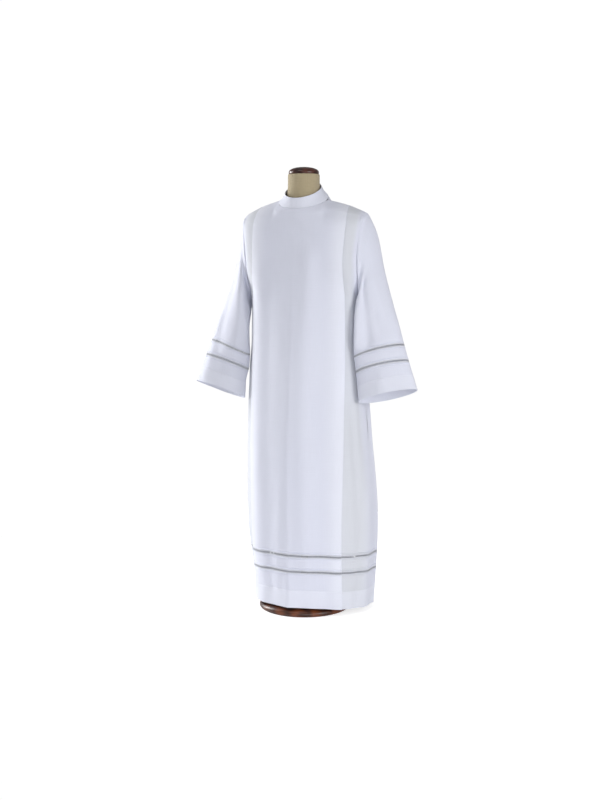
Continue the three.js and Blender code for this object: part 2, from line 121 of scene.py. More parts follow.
# x, y, z from the foot of the collar to the shoulder point
SHOULDER = [(90, -9, 1475.2), (165, 4, 1455), (226, 15, 1430)]
SHOULDER_FOLD_X = 165
SHOULDER_END_X = 226

# half width, half depth, centre y, centre z, slope
COLLAR = [(90, 79, -9, 1476, 0.42), (73, 74, -12, 1492, 0.435), (64, 70, -14, 1510, 0.45)]
COLLAR_GAP = 0.8

# along, outer x y z, inner x y z, half depth, drop
SLEEVE = [
    (0, 226, 15, 1430, 208, 22, 1140, 62, 0),
    (47, 246, 33, 1392, 210, 4, 1118, 50, 2),
    (103, 263, 44, 1340, 210, -22, 1085, 46, 4),
    (219, 287, 44, 1227, 207, -45, 1045, 42, 6),
    (336, 321, 34, 1116, 206, -52, 1000, 38, 9),
    (422, 350, 21, 1036, 206, -50, 960, 37, 11),
    (494, 373, 10, 968, 206, -47, 925, 37, 12),
    (553, 393, 0, 914, 212, -42, 872, 38, 14),
    (658, 429, -14, 816, 221, -37, 765, 40, 16),
]

# height, half width, half depth, centre y, roundness
FORM = [
    (780, 136, 92, 24, 2.2),
    (790, 148, 102, 24, 2.2),
    (930, 158, 110, 22, 2.2),
    (1080, 142, 98, 18, 2.2),
    (1200, 158, 100, 12, 2.3),
    (1300, 182, 94, 10, 2.4),
    (1368, 196, 80, 8, 2.2),
    (1402, 198, 70, 5, 1.8),
    (1424, 184, 65, 1, 1.45),
    (1443, 148, 63, -3, 1.25),
    (1459, 103, 61, -6, 1.4),
    (1478, 66, 59, -8, 2),
    (1500, 58, 58, -8, 2),
    (1564, 56, 56, -8, 2),
]
NECK_Y = -8
NECK_TOP = 1564
POLE_RADIUS = 13

# radius, height
BASE_PROFILE = [
    (0, 0), (158, 0), (163, 2.5), (165.5, 8), (165, 14), (160, 20), (150, 24.5),
    (128, 28), (96, 31), (66, 35), (46, 40), (34, 46), (30, 50), (0, 50),
]
CAP_PROFILE = [
    (0, 0), (50.5, 0), (53, 2), (53.6, 6), (52.6, 10.5), (49, 15), (42, 19), (31, 22.5),
    (16, 24.8), (0, 25.4),
]

# ---- Reading the tables ----


def smooth(table, key, column):
    """Reads one column of a table at any values of its first column, on a smooth curve."""
    rows = np.array(sorted(table), float)
    x = rows[:, 0]
    y = rows[:, column]
    tangent = np.empty(len(x))
    tangent[1:-1] = (y[2:] - y[:-2]) / (x[2:] - x[:-2])
    tangent[0] = (y[1] - y[0]) / (x[1] - x[0])
    tangent[-1] = (y[-1] - y[-2]) / (x[-1] - x[-2])
    key = np.asarray(key, float)
    i = np.clip(np.searchsorted(x, key) - 1, 0, len(x) - 2)
    span = x[i + 1] - x[i]
    t = np.clip((key - x[i]) / span, 0, 1)
    start = (2 * t**3 - 3 * t**2 + 1) * y[i] + (t**3 - 2 * t**2 + t) * span * tangent[i]
    end = (3 * t**2 - 2 * t**3) * y[i + 1] + (t**3 - t**2) * span * tangent[i + 1]
    return start + end


def ease(value):
    """0 below 0, 1 above 1, and a soft step between."""
    t = np.clip(value, 0, 1)
    return t * t * (3 - 2 * t)


def unit(vectors):
    length = np.linalg.norm(vectors, axis=-1, keepdims=True)
    return vectors / np.maximum(length, 1e-9)


def power(value, exponent):
    return np.sign(value) * np.abs(value) ** exponent


def spread(start, end, spacing):
    """Evenly spaced values from start to end, at most spacing apart."""
    count = max(2, int(math.ceil(abs(end - start) / spacing)) + 1)
    return np.linspace(start, end, count)


def round_turn(count):
    """Angles evenly spaced round one whole turn, in radians."""
    return np.linspace(0, 2 * np.pi, count + 1)[:-1]


# ---- The trunk's plain shape ----


def edge_inset(height, is_left):
    rise = (height - ARMHOLE_CENTRE) / ARMHOLE_HALF_HEIGHT
    armhole = ARMHOLE_HALF_DEPTH * np.sqrt(np.clip(1 - rise**2, 0, 1))
    share = np.clip((height - SLIT_BOTTOM) / (SLIT_TOP - SLIT_BOTTOM), 0, 1)
    slit = np.where(is_left, SLIT_GAPE / 2 * np.sin(np.pi * share), 0)
    return armhole + SEAM_GAP / 2 + slit


def section_point(face, across, height):
    left, right, side_y, front_y, back_y, roundness, fold_x, crease, sag = (
        smooth(TRUNK, height, column) for column in range(1, 10)
    )
    share = np.abs(across)
    fold_x = fold_x + np.where(across > 0, smooth(LEFT_FOLD_SHIFT, height, 1), 0)
    half_width = np.where(across > 0, left, right)
    depth = side_y - front_y if face == FRONT else back_y - side_y
    x_in = np.minimum(share, 1) * fold_x
    reach_in = depth * (1 - (x_in / half_width) ** roundness) ** (1 / roundness)
    if face == FRONT:
        reach_in = reach_in + crease * np.maximum(0, 1 - x_in / CREASE_REACH) ** 2
    fold_angle = np.arcsin((fold_x / half_width) ** (roundness / 2))
    inset = edge_inset(height, across > 0)
    edge_angle = np.arccos((inset / depth) ** (roundness / 2))
    angle = fold_angle + np.clip(share - 1, 0, 1) * (edge_angle - fold_angle)
    x_out = half_width * np.sin(angle) ** (2 / roundness)
    reach_out = depth * np.cos(angle) ** (2 / roundness)
    x = np.where(share > 1, x_out, x_in)
    reach = np.where(share > 1, reach_out, reach_in)
    lift_start = 0.4 if face == FRONT else 1.0
    lift_share = ease((-across - lift_start) / 0.9) * ease((110 - height) / 76)
    sag_share = (x / half_width) ** 2 if face == FRONT else 1
    z = height - sag * sag_share + HEM_LIFT * lift_share
    return np.stack([np.sign(across) * x, side_y + face * reach, z], axis=-1)


def top_point(face, across):
    share = np.abs(across)
    outside = np.maximum(0, share - 1) * (SHOULDER_END_X - SHOULDER_FOLD_X)
    x = np.minimum(share, 1) * SHOULDER_FOLD_X + outside
    half_width, half_depth, centre_y, centre_z, slope = COLLAR[0]
    arc = np.sqrt(np.clip(1 - (x / half_width) ** 2, 0, 1))
    neck_y = centre_y + face * half_depth * arc
    neck_z = centre_z + slope * (neck_y - centre_y) - COLLAR_GAP
    is_neck = x < half_width
    y = np.where(is_neck, neck_y, smooth(SHOULDER, x, 1)) + face * SEAM_GAP / 2
    z = np.where(is_neck, neck_z, smooth(SHOULDER, x, 2))
    return np.stack([np.sign(across) * x, y, z], axis=-1)


SOFT_REACH = 60  # how far above and below the chest the shoulders are rounded off
SOFT_START = 1240  # the rounding grows from here up, over SOFT_GROWTH
SOFT_GROWTH = 120
SOFT_EDGE = 0.3  # and it dies out this far across from the side seams
# how far up or down each sample is, as a share of the reach, and its weight
SOFT_STEPS = (
    (-1, 0.11), (-0.66, 0.15), (-0.33, 0.16), (0, 0.16), (0.33, 0.16), (0.66, 0.15), (1, 0.11),
)


def trunk_point(face, across, height):
    """A point on the outside of the trunk, its turn at the chest eased into a long curve
    that dies out at the armholes and at the shoulder seam."""
    grown = ease((height - SOFT_START) / SOFT_GROWTH)
    reach = SOFT_REACH * grown * ease((2 - np.abs(across)) / SOFT_EDGE)
    reach = np.minimum(reach, (SHOULDER_TOP - height) * 0.98)
    total = 0
    for step, weight in SOFT_STEPS:
        total = total + weight * trunk_shape(face, across, height + reach * step)
    return total


def trunk_shape(face, across, height):
    """The trunk before that rounding: sections up to the chest, then one curve to the seam."""
    low = section_point(face, across, np.minimum(height, CHEST_HEIGHT))
    top = top_point(face, across)
    turn = low.copy()
    turn[..., 2] += SHOULDER_ROUNDING * (top[..., 2] - low[..., 2])
    share = np.clip((height - CHEST_HEIGHT) / (SHOULDER_TOP - CHEST_HEIGHT), 0, 1)[..., None]
    return (1 - share) ** 2 * low + 2 * share * (1 - share) * turn + share**2 * top


def trunk_frame(face, across, height):
    """The outward normal, and the sideways tangent that points away from the middle."""
    step = 0.01
    tangent = trunk_point(face, np.minimum(across + step, 2), height)
    tangent = unit(tangent - trunk_point(face, np.maximum(across - step, -2), height))
    rise = trunk_point(face, across, np.minimum(height + 2, SHOULDER_TOP))
    rise = rise - trunk_point(face, across, np.maximum(height - 2, HEM_HEIGHT))
    normal = -face * unit(np.cross(tangent, rise))
    is_shoulder = np.abs(across) >= COLLAR[0][0] / SHOULDER_FOLD_X
    on_seam = ease((height - SHOULDER_TOP + 6) / 6) * is_shoulder
    normal = unit(normal * (1 - on_seam[..., None]) + np.array([0, 0, 1]) * on_seam[..., None])
    side = np.where(across < 0, -1.0, 1.0)[..., None]
    return normal, tangent * side


# ---- Folds, troughs and seams in the cloth ----

# Each fold is its height in millimetres (a trough is below 0), its half width,
# and the path of its middle from the bottom up. On the front and back, a path
# is (height, place across); its half width is in places across, of about 17 cm.
FRONT_FOLDS = [
    # the dip beside the middle, on the wearer's right
    (-2.2, 0.22, [
        (-90, -0.50), (300, -0.52), (560, -0.50), (900, -0.54), (1150, -0.56), (1330, -0.50),
    ]),
    (2.6, 0.20, [(-90, -0.72), (400, -0.70), (800, -0.74), (1100, -0.80), (1300, -0.74)]),
    (1.2, 0.10, [(150, -0.20), (300, -0.19), (420, -0.16), (560, -0.10)]),
    # the soft rise and the dip on the wearer's left
    (2.4, 0.17, [(120, 0.34), (500, 0.30), (900, 0.26), (1180, 0.32), (1380, 0.30)]),
    (-2.6, 0.22, [(-90, 0.74), (420, 0.66), (860, 0.62), (1130, 0.66), (1340, 0.60)]),
    (1.6, 0.12, [(-90, 0.93), (300, 0.92), (700, 0.90), (1000, 0.88)]),
    # the side under the wearer's left arm, which faces the camera
    (3.2, 0.22, [(960, 1.38), (1080, 1.34), (1180, 1.32), (1290, 1.28)]),
    (1.2, 0.10, [(560, 1.60), (700, 1.52), (800, 1.46)]),
    (-2.4, 0.12, [(-90, 1.42), (260, 1.46), (560, 1.38), (820, 1.30)]),
    (2.0, 0.13, [(-90, 1.72), (300, 1.74), (520, 1.78)]),
    (-1.6, 0.10, [(560, 1.66), (700, 1.60), (860, 1.66)]),
    # the side under the wearer's right arm
    (-2.2, 0.13, [(-90, -1.34), (300, -1.38), (700, -1.30), (1000, -1.36)]),
    (2.4, 0.12, [(60, -1.62), (420, -1.66), (760, -1.58), (980, -1.50)]),
    (1.6, 0.10, [(780, -1.14), (960, -1.20), (1120, -1.22)]),
]

BACK_FOLDS = [
    (5.0, 0.22, [(-90, 0.06), (420, 0.04), (900, -0.02), (1160, -0.05), (1330, -0.02)]),
    (-5.5, 0.20, [(-90, 0.42), (380, 0.40), (860, 0.34), (1200, 0.28)]),
    (4.6, 0.19, [(-90, 0.80), (340, 0.76), (820, 0.68), (1230, 0.60)]),
    (-4.6, 0.20, [(-90, 1.18), (360, 1.16), (760, 1.06), (1080, 0.98)]),
    (3.4, 0.16, [(-90, 1.56), (300, 1.55), (700, 1.47)]),
    (-5.0, 0.19, [(-90, -0.36), (300, -0.37), (760, -0.32), (1240, -0.30)]),
    (4.2, 0.20, [(-90, -0.76), (420, -0.74), (900, -0.66), (1180, -0.62)]),
    (-4.8, 0.18, [(-90, -1.12), (340, -1.10), (820, -1.02), (1060, -0.96)]),
    (3.8, 0.17, [(-90, -1.50), (360, -1.50), (640, -1.42)]),
    # the edges of the back stand out beside the side seams
    (9.0, 0.14, [(-90, -1.78), (420, -1.76), (820, -1.74), (1210, -1.70)]),
    (5.0, 0.12, [(-90, 1.80), (380, 1.80), (700, 1.76), (1040, 1.72)]),
    # drags from the shoulder blades in towards the spine
    (1.8, 0.16, [(1180, 0.46), (1290, 0.62), (1380, 0.86)]),
    (-1.6, 0.14, [(1210, -0.52), (1300, -0.66), (1390, -0.92)]),
]

# On a sleeve, a path is (distance down the sleeve, degrees round it), and the
# half width is in degrees; 90 is the front, 180 the underarm and 270 the back.
LEFT_SLEEVE_FOLDS = [
    (4.0, 15, [(60, 140), (180, 143), (330, 150), (470, 158)]),
    (-4.8, 15, [(90, 106), (220, 110), (380, 116), (520, 122)]),
    (2.6, 16, [(140, 74), (260, 66), (400, 60)]),
    (-2.2, 14, [(300, 92), (420, 84), (480, 78)]),
    (2.0, 16, [(560, 96), (620, 100), (760, 104)]),
    (-3.4, 18, [(80, 215), (240, 222), (420, 216), (540, 212)]),
    (3.6, 17, [(60, 250), (200, 256), (380, 262), (560, 258)]),
    (-3.0, 17, [(200, 296), (360, 300), (520, 290)]),
    (2.2, 15, [(420, 322), (540, 316), (760, 312)]),
]
RIGHT_SLEEVE_FOLDS = [
    (5.0, 34, [(30, 116), (150, 122), (300, 126), (560, 128)]),
    (5.6, 22, [(60, 166), (120, 170), (220, 177), (600, 182)]),
    (-1.6, 17, [(180, 62), (330, 66), (560, 70)]),
    (2.2, 15, [(360, 48), (480, 56), (620, 60), (760, 62)]),
    (3.2, 17, [(90, 236), (260, 244), (430, 240), (560, 236)]),
    (-3.8, 18, [(60, 268), (230, 274), (400, 280), (530, 274)]),
    (2.6, 15, [(240, 306), (400, 312), (600, 306), (760, 304)]),
    (-2.2, 14, [(440, 210), (560, 206), (760, 204)]),
]
FRONT_DEPTH = 1.9  # how much deeper than listed the folds of each part are
BACK_DEPTH = 1.2
SLEEVE_DEPTH = 1.8
FOLD_FADE_UP = 110  # how far a fold takes to rise from nothing at each end of its path
FOLD_FADE_SLEEVE = 60
FOLD_CALM = 0.45  # the share of the trunk's folds lost near the shoulders


def fold_height(folds, across, along, fade, is_ring=False):
    total = np.zeros(np.broadcast(across, along).shape)
    for amount, half_width, path in folds:
        start = path[0][0]
        end = path[-1][0]
        middle = smooth(path, np.clip(along, start, end), 1)
        away = across - middle
        if is_ring:
            away = (away + 180) % 360 - 180
        share = ease((along - start) / fade) * ease((end - along) / fade)
        total = total + amount * share * np.exp(-((away / half_width) ** 2))
    return total


TUCK_AWAY = 9.5  # from an insertion's middle line to the pin-tuck beside it
TUCK_HEIGHT = 1.3
TUCK_HALF_WIDTH = 1.1
HEM_TOP = 98  # the hem is turned up this high and stitched
CUFF_TOP = 606  # the cuff is turned up from here down
TURNING = 0.5  # what the turned-up cloth adds
ARMHOLE_DIP = 1.0  # how far the cloth is pulled in at the armhole, and how wide, in places across
ARMHOLE_DIP_WIDTH = 0.07
SIDE_SEAM_DIP = 0.9
SIDE_SEAM_DIP_WIDTH = 0.035


def ridge(away, half_width):
    """A bell curve, 1 at its middle."""
    return np.exp(-((away / half_width) ** 2))


def trim_height(along, lines, turning, direction):
    """Pin-tucks beside the insertions, and the stitched edge of a hem or cuff."""
    total = np.zeros(np.shape(along))
    for line in lines:
        for side in (-1, 1):
            away = along - line - side * TUCK_AWAY
            total = total + TUCK_HEIGHT * ridge(away, TUCK_HALF_WIDTH)
            total = total - TUCK_HEIGHT * ridge(away - side * 2.3, 0.9)
    past = (along - turning) * direction
    total = total + TURNING * ease(past / 3 + 0.5) - 0.7 * ridge(past, 1.3)
    return total


def pucker_height(across, height):
    """Short uneven puckers along the stitched lines of the skirt, most of all on the
    wearer's right of the middle front."""
    place = across * 167
    waves = np.sin(place / 2.7 + 1.4 * np.sin(place / 17)) * (0.6 + 0.4 * np.sin(place / 31 + 1))
    slow = np.sin(place / 9.1 + 0.8 * np.sin(height / 14 + place / 40))
    band = ridge(height - 195, 30) * 0.55 + ridge(height - 122, 26) * 0.5
    band = band + ridge(height - HEM_TOP, 9) * 0.5 + ridge(height - 60, 30) * 0.2
    weak = 0.22
    strong = ease((across + 1.1) / 0.2) * ease((-across + 0.05) / 0.3)
    return band * (weak + strong) * (0.8 * waves + 1.7 * slow)


CREASE_PATH = [(34, 0.01), (420, 0.0), (820, 0.02), (1120, 0.05), (1250, 0.07)]
CREASE_HEIGHT = 12.0
CREASE_SPREAD = 0.95


def crease_height(across, height):
    """The ironed crease down the middle front: a soft roof with a narrow ridge."""
    away = np.abs(across - smooth(CREASE_PATH, height, 1)) / CREASE_SPREAD
    share = ease((1330 - height) / 420)
    return CREASE_HEIGHT * share * np.clip(1 - away, 0, 1) ** 1.4


def trunk_relief(face, across, height):
    folds = FRONT_FOLDS if face == FRONT else BACK_FOLDS
    total = fold_height(folds, across, height, FOLD_FADE_UP)
    total = total * (FRONT_DEPTH if face == FRONT else BACK_DEPTH)
    total = total * (1 - FOLD_CALM * ease((height - 1250) / 100))
    if face == FRONT:
        total = total + crease_height(across, height)
    total = total + pucker_height(across if face == FRONT else across + 4, height)
    free = ease((2 - np.abs(across)) / 0.22) * ease((SHOULDER_TOP - height) / 45)
    total = total * free
    armhole = ease((height - 1120) / 60)
    edge = 2 - np.abs(across)
    total = total - armhole * ARMHOLE_DIP * ridge(edge, ARMHOLE_DIP_WIDTH)
    total = total - (1 - armhole) * SIDE_SEAM_DIP * ridge(edge, SIDE_SEAM_DIP_WIDTH)
    return total + trim_height(height, SKIRT_INSERTIONS, HEM_TOP, -1)


# ---- Pleated front: places across, and how deep the cloth lies there ----

SEAM_PRESS = 0.32  # the pleat's thickness where it is sewn into the shoulder seam, as a share
PRESS_LENGTH = 70  # and how far down it takes to open
BACK_COLUMNS = 113


def front_profile():
    """Across, depth and sideways shift at each stop of the front's cross-section, from
    the wearer's right side, under and over both pleats, to the left side."""
    radius = LAYER_STEP / 2
    surface = SURFACE
    inner = 1 - PLEAT_DEPTH
    stops = [(place, surface, 0) for place in np.linspace(0, 1, 31)]
    turn = np.radians(np.linspace(0, 180, 9)[1:-1])
    stops += [(1, surface + radius * (1 - math.cos(a)), radius * math.sin(a)) for a in turn]
    under = surface + LAYER_STEP
    stops += [(place, under, 0) for place in np.linspace(1, inner, 8)]
    stops += [(inner, under + radius * (1 - math.cos(a)), -radius * math.sin(a)) for a in turn]
    beneath = under + LAYER_STEP
    stops += [(place, beneath, 0) for place in np.linspace(inner, 1, 8)[:-1]]
    closing = beneath - surface
    stops += [(place, surface + closing * (2 - place), 0) for place in np.linspace(1, 2, 27)]
    half = np.array(stops)
    mirror = half[:0:-1] * np.array([-1, 1, 1])
    return np.concatenate([mirror, half])


def front_grid(heights):
    profile = front_profile()
    across, height = np.meshgrid(profile[:, 0], heights)
    opened = ease((SHOULDER_TOP - height) / PRESS_LENGTH)[..., None]
    press = SEAM_PRESS + (1 - SEAM_PRESS) * opened
    depth = SURFACE + press * (profile[:, 1][None, :, None] - SURFACE)
    shift = press * profile[:, 2][None, :, None]
    normal, outwards = trunk_frame(FRONT, across, height)
    relief = trunk_relief(FRONT, across, height)[..., None]
    return trunk_point(FRONT, across, height) + normal * (relief - depth) + outwards * shift


def back_grid(heights):
    across, height = np.meshgrid(np.linspace(-2, 2, BACK_COLUMNS), heights)
    normal, _ = trunk_frame(BACK, across, height)
    relief = trunk_relief(BACK, across, height)[..., None]
    return trunk_point(BACK, across, height) + normal * (relief - SURFACE)


# ---- Sleeves ----


def sleeve_plain(along, degrees):
    outer = np.stack([smooth(SLEEVE, along, column) for column in (1, 2, 3)], axis=-1)
    inner = np.stack([smooth(SLEEVE, along, column) for column in (4, 5, 6)], axis=-1)
    centre = (outer + inner) / 2
    reach = outer - centre
    line = unit(reach)
    backwards = np.array([0.0, 1.0, 0.0]) - line * line[..., 1:2]
    backwards = unit(backwards) * smooth(SLEEVE, along, 7)[..., None]
    backwards[..., 2] -= smooth(SLEEVE, along, 8)
    angle = np.radians(degrees)
    exponent = 2 / SLEEVE_ROUNDNESS
    out = power(np.cos(angle), exponent)[..., None]
    sideways = power(np.sin(angle), exponent)[..., None]
    return centre + reach * out - backwards * sideways


def armhole_height(degrees):
    above = SHOULDER_TOP - (SHOULDER_TOP - CHEST_HEIGHT) * degrees / CHEST_ANGLE
    below = ARMHOLE_CENTRE + ARMHOLE_HALF_HEIGHT * np.cos(np.radians(degrees))
    return np.where(degrees < CHEST_ANGLE, above, below)


def armhole_edge(degrees):
    """The edge of the front and back round the armhole."""
    turned = degrees % 360
    height = armhole_height(np.where(turned <= 180, turned, 360 - turned))
    across = np.full(np.shape(turned), 2.0)
    edges = []
    for face in (FRONT, BACK):
        normal, outwards = trunk_frame(face, across, height)
        edges.append(trunk_point(face, across, height) + unit(normal + outwards) * SEAM_GAP)
    is_front = (turned > 0) & (turned < 180)
    is_tip = (turned == 0) | (turned == 180)
    share = np.where(is_tip, 0.5, np.where(is_front, 1, 0))[..., None]
    return edges[0] * share + edges[1] * (1 - share)


JOIN_LENGTH = 60  # how far down the sleeve takes its shape from the armhole
SLEEVE_COLUMNS = 120
HEAD_RISE = 3.0  # the sleeve head stands proud of the armhole seam by this much
HEAD_LENGTH = 46
HEAD_DIP = 1.2  # and dips into the seam itself by this much


def sleeve_base(along, degrees):
    plain = sleeve_plain(along, degrees)
    start = sleeve_plain(np.zeros(np.shape(along)), degrees)
    share = np.clip(1 - along / JOIN_LENGTH, 0, 1)[..., None] ** 2
    return plain + (armhole_edge(degrees) - start) * share


def sleeve_grid(alongs, folds, is_left):
    degrees, along = np.meshgrid(np.linspace(0, 360, SLEEVE_COLUMNS + 1)[:-1], alongs)
    base = sleeve_base(along, degrees)
    turn = sleeve_base(along, degrees + 1.5) - sleeve_base(along, degrees - 1.5)
    below = sleeve_base(np.minimum(along + 3, SLEEVE_LENGTH), degrees)
    above = sleeve_base(np.maximum(along - 3, 0), degrees)
    normal = unit(np.cross(turn, below - above))
    relief = fold_height(folds, degrees, along, FOLD_FADE_SLEEVE, is_ring=True)
    relief = relief * ease((along - 6) / 60) * SLEEVE_DEPTH
    relief = relief + trim_height(along, SLEEVE_INSERTIONS, CUFF_TOP, 1)
    head = HEAD_RISE * ease(along / 9) * ease((HEAD_LENGTH - along) / 38)
    relief = relief + head - HEAD_DIP * ridge(along, 5)
    points = base + normal * (relief - SURFACE)[..., None]
    if not is_left:
        points[..., 0] *= -1
    return points


# ---- Mesh tools ----


def make_object(name, points, faces, material, uv, sharp_angle=40, painted_light=None):
    """A smooth-shaded mesh. uv is its place on the cloth, in millimetres; a second map gives the
    painted light where the cloth lies doubled and the painted shade on the side panel and bars."""
    mesh = bpy.data.meshes.new(name)
    mesh.from_pydata((np.asarray(points) * MM).tolist(), [], faces)
    mesh.update()
    corners = np.empty(len(mesh.loops), dtype=np.int32)
    mesh.loops.foreach_get("vertex_index", corners)
    if painted_light is None:
        painted_light = np.zeros((len(points), 2))
    for layer_name, values in (("Weave", np.asarray(uv) * MM), ("PaintedLight", painted_light)):
        layer = mesh.uv_layers.new(name=layer_name)
        layer.data.foreach_set("uv", values[corners].ravel())
    mesh.shade_smooth()
    mesh.set_sharp_from_angle(angle=math.radians(sharp_angle))
    mesh.materials.append(material)
    return add_object(name, mesh)


def grid_normals(grid, is_ring):
    """The normal at each point of a grid of rows and columns, whose rows may be closed rings."""
    if is_ring:
        across = np.roll(grid, -1, axis=1) - np.roll(grid, 1, axis=1)
    else:
        across = np.gradient(grid, axis=1)
    return unit(np.cross(across, np.gradient(grid, axis=0)))


def arc_lengths(grid, axis):
    """Distances along a grid from its first row or column, in the plane of the cloth."""
    steps = np.linalg.norm(np.diff(grid, axis=axis), axis=-1)
    middle = steps.mean(axis=1 - axis)
    return np.concatenate([[0], np.cumsum(middle)])


def shell_mesh(grid, thickness, is_ring):
    """Points, faces and cloth coordinates of a closed sheet of a given thickness."""
    rows, columns = grid.shape[:2]
    normal = grid_normals(grid, is_ring)
    outer = grid + normal * thickness / 2
    inner = grid - normal * thickness / 2
    points = np.concatenate([outer.reshape(-1, 3), inner.reshape(-1, 3)])
    index = np.arange(rows * columns).reshape(rows, columns)
    if is_ring:
        index = np.concatenate([index, index[:, :1]], axis=1)
    a = index[:-1, :-1].ravel()
    b = index[1:, :-1].ravel()
    c = index[1:, 1:].ravel()
    d = index[:-1, 1:].ravel()
    below = rows * columns
    faces = [np.stack([d, c, b, a], axis=1), np.stack([a, b, c, d], axis=1) + below]
    borders = [index[0, ::-1], index[-1, :]]
    if not is_ring:
        borders += [index[:, 0], index[::-1, -1]]
    for border in borders:
        start = border[:-1]
        end = border[1:]
        faces.append(np.stack([start, end, end + below, start + below], axis=1))
    faces = np.concatenate(faces)
    u, v = np.meshgrid(arc_lengths(grid, 1), arc_lengths(grid, 0))
    uv = np.stack([u, v], axis=-1).reshape(-1, 2)
    return points, faces, np.concatenate([uv, uv])


def facing_out(points, faces):
    """The faces, turned over if they face into the solid."""
    a = points[faces[:, 0]]
    b = points[faces[:, 1]]
    c = points[faces[:, 2]]
    d = points[faces[:, 3]]
    volume = (a * np.cross(b, c)).sum() + (a * np.cross(c, d)).sum()
    return faces if volume > 0 else faces[:, ::-1]


def shell(name, grid, thickness, is_ring, material, painted_light=None):
    points, faces, uv = shell_mesh(grid, thickness, is_ring)
    if painted_light is not None:
        painted_light = np.tile(painted_light.reshape(-1, 2), (2, 1))
    return make_object(name, points, facing_out(points, faces).tolist(), material, uv, painted_light=painted_light)


# ---- Pieces of cloth ----

CLOTH_THICKNESS = 0.8
OPEN_HALF = 3.2  # half the open width of an insertion
BAR_PITCH = 4.3  # the ladder's bars, each widest at its ends
BAR_WIDTH = 3.3
BAR_WAIST = 2.4
# painted light: how much whiter the cloth is painted where it lies doubled, over the pleats, the hem
# and the cuffs
PLEAT_PAINTED_LIGHT = 0.9
HEM_PAINTED_LIGHT = 0.55
CUFF_PAINTED_LIGHT = 0.4


def front_painted_light(heights):
    """Painted light where the front lies doubled, and painted shade on its set-back side panel."""
    profile = front_profile()
    across, height = np.meshgrid(profile[:, 0], heights)
    share = np.abs(across)
    # painted light: the pleats are painted whiter, more so towards their folds
    pleat = ease((share - 0.62) / 0.36) * (share <= 1)
    doubled_light = np.maximum(pleat * PLEAT_PAINTED_LIGHT, hem_painted_light(height))
    # painted shade: the side panel, set back under the pleats, is painted greyer
    side = np.broadcast_to((profile[:, 1] > SURFACE + 0.1), share.shape) * ease((1.9 - share) / 0.4)
    return np.stack([doubled_light, side], axis=-1)


def hem_painted_light(height):
    # painted light: the turned-up hem is painted whiter
    return HEM_PAINTED_LIGHT * ease((HEM_TOP - height) / 1.5 + 0.5)


def back_painted_light(heights):
    # painted light on the back's hem, and no painted shade
    doubled_light = np.repeat(hem_painted_light(heights)[:, None], BACK_COLUMNS, axis=1)
    return np.stack([doubled_light, doubled_light * 0], axis=-1)


def sleeve_painted_light(alongs):
    # painted light: the turned-up cuff is painted whiter
    share = CUFF_PAINTED_LIGHT * ease((alongs - CUFF_TOP) / 1.5 + 0.5)
    doubled_light = np.repeat(share[:, None], SLEEVE_COLUMNS, axis=1)
    return np.stack([doubled_light, doubled_light * 0], axis=-1)


def levels(start, end, lines, turning, spacing):
    """Levels for the rows of a piece, closer together where it is tucked or stitched."""
    rows = list(spread(start, end, spacing))
    marks = [line + side * TUCK_AWAY for line in lines for side in (-1, 1)] + [turning]
    low, high = min(start, end), max(start, end)
    for mark in marks:
        fine = [mark + offset for offset in np.linspace(-4, 4, 13)]
        fine = [level for level in fine if low < level < high]
        rows = [level for level in rows if abs(level - mark) > 4.4 or level in (start, end)] + fine
    rows = sorted(set(rows), reverse=start > end)
    keep = [rows[0]]
    for level in rows[1:-1]:
        if abs(level - keep[-1]) > 0.25 and abs(level - rows[-1]) > 0.25:
            keep.append(level)
    return np.array(keep + [rows[-1]])


def cut_levels(start, lines, end, turning, spacing):
    """The levels of each piece from the panel down to the hem or cuff."""
    step = 1 if end > start else -1
    half = step * INSERTION_WIDTH / 2
    seam = step * SEAM_GAP / 2
    cuts = [start, lines[0] - half, lines[0] + half, lines[1] - half, lines[1] + half, end]
    pieces = {}
    for i, ending in enumerate(("panel", "insertion_upper", "band", "insertion_lower", "hem")):
        low = cuts[i] + (seam if i else 0)
        high = cuts[i + 1] - (seam if i < 4 else 0)
        pieces[ending] = levels(low, high, lines, turning, spacing)
    return pieces


def bars(grid_at, line, step, is_ring):
    """The ladder of an insertion: bundles of drawn threads across its open middle."""
    stations = np.array([-1, -0.6, 0, 0.6, 1]) * (OPEN_HALF + 0.5)
    widths = np.array([BAR_WIDTH, BAR_WAIST * 1.15, BAR_WAIST, BAR_WAIST * 1.15, BAR_WIDTH])
    grid = grid_at(line + step * stations)
    normal = grid_normals(grid, is_ring)
    if is_ring:
        grid = np.concatenate([grid, grid[:, :1]], axis=1)
        normal = np.concatenate([normal, normal[:, :1]], axis=1)
    lengths = np.concatenate([[0], np.cumsum(np.linalg.norm(np.diff(grid[2], axis=0), axis=1))])
    count = int(lengths[-1] / BAR_PITCH)
    places = (np.arange(count) + 0.5) * lengths[-1] / count
    corners = []
    for row, width in enumerate(widths):
        for side_u, side_n in ((-1, -1), (1, -1), (1, 1), (-1, 1)):
            at = places + side_u * width / 2
            point = np.stack([np.interp(at, lengths, grid[row, :, k]) for k in range(3)], axis=-1)
            off = np.stack([np.interp(places, lengths, normal[row, :, k]) for k in range(3)], axis=-1)
            corners.append(point + off * side_n * CLOTH_THICKNESS * 0.4)
    points = np.stack(corners, axis=1)
    per_bar = points.shape[1]
    faces = []
    for low in range(0, per_bar - 4, 4):
        for k in range(4):
            following = (k + 1) % 4
            faces.append([low + k, low + following, low + 4 + following, low + 4 + k])
    faces.append([3, 2, 1, 0])
    faces.append([per_bar - 4, per_bar - 3, per_bar - 2, per_bar - 1])
    starts = np.arange(count)[:, None, None] * per_bar
    all_faces = (np.array(faces)[None] + starts).reshape(-1, 4)
    points = points.reshape(-1, 3)
    uv = np.stack([np.repeat(places, per_bar), np.tile(np.repeat(stations, 4), count)], axis=1)
    return points, all_faces, uv


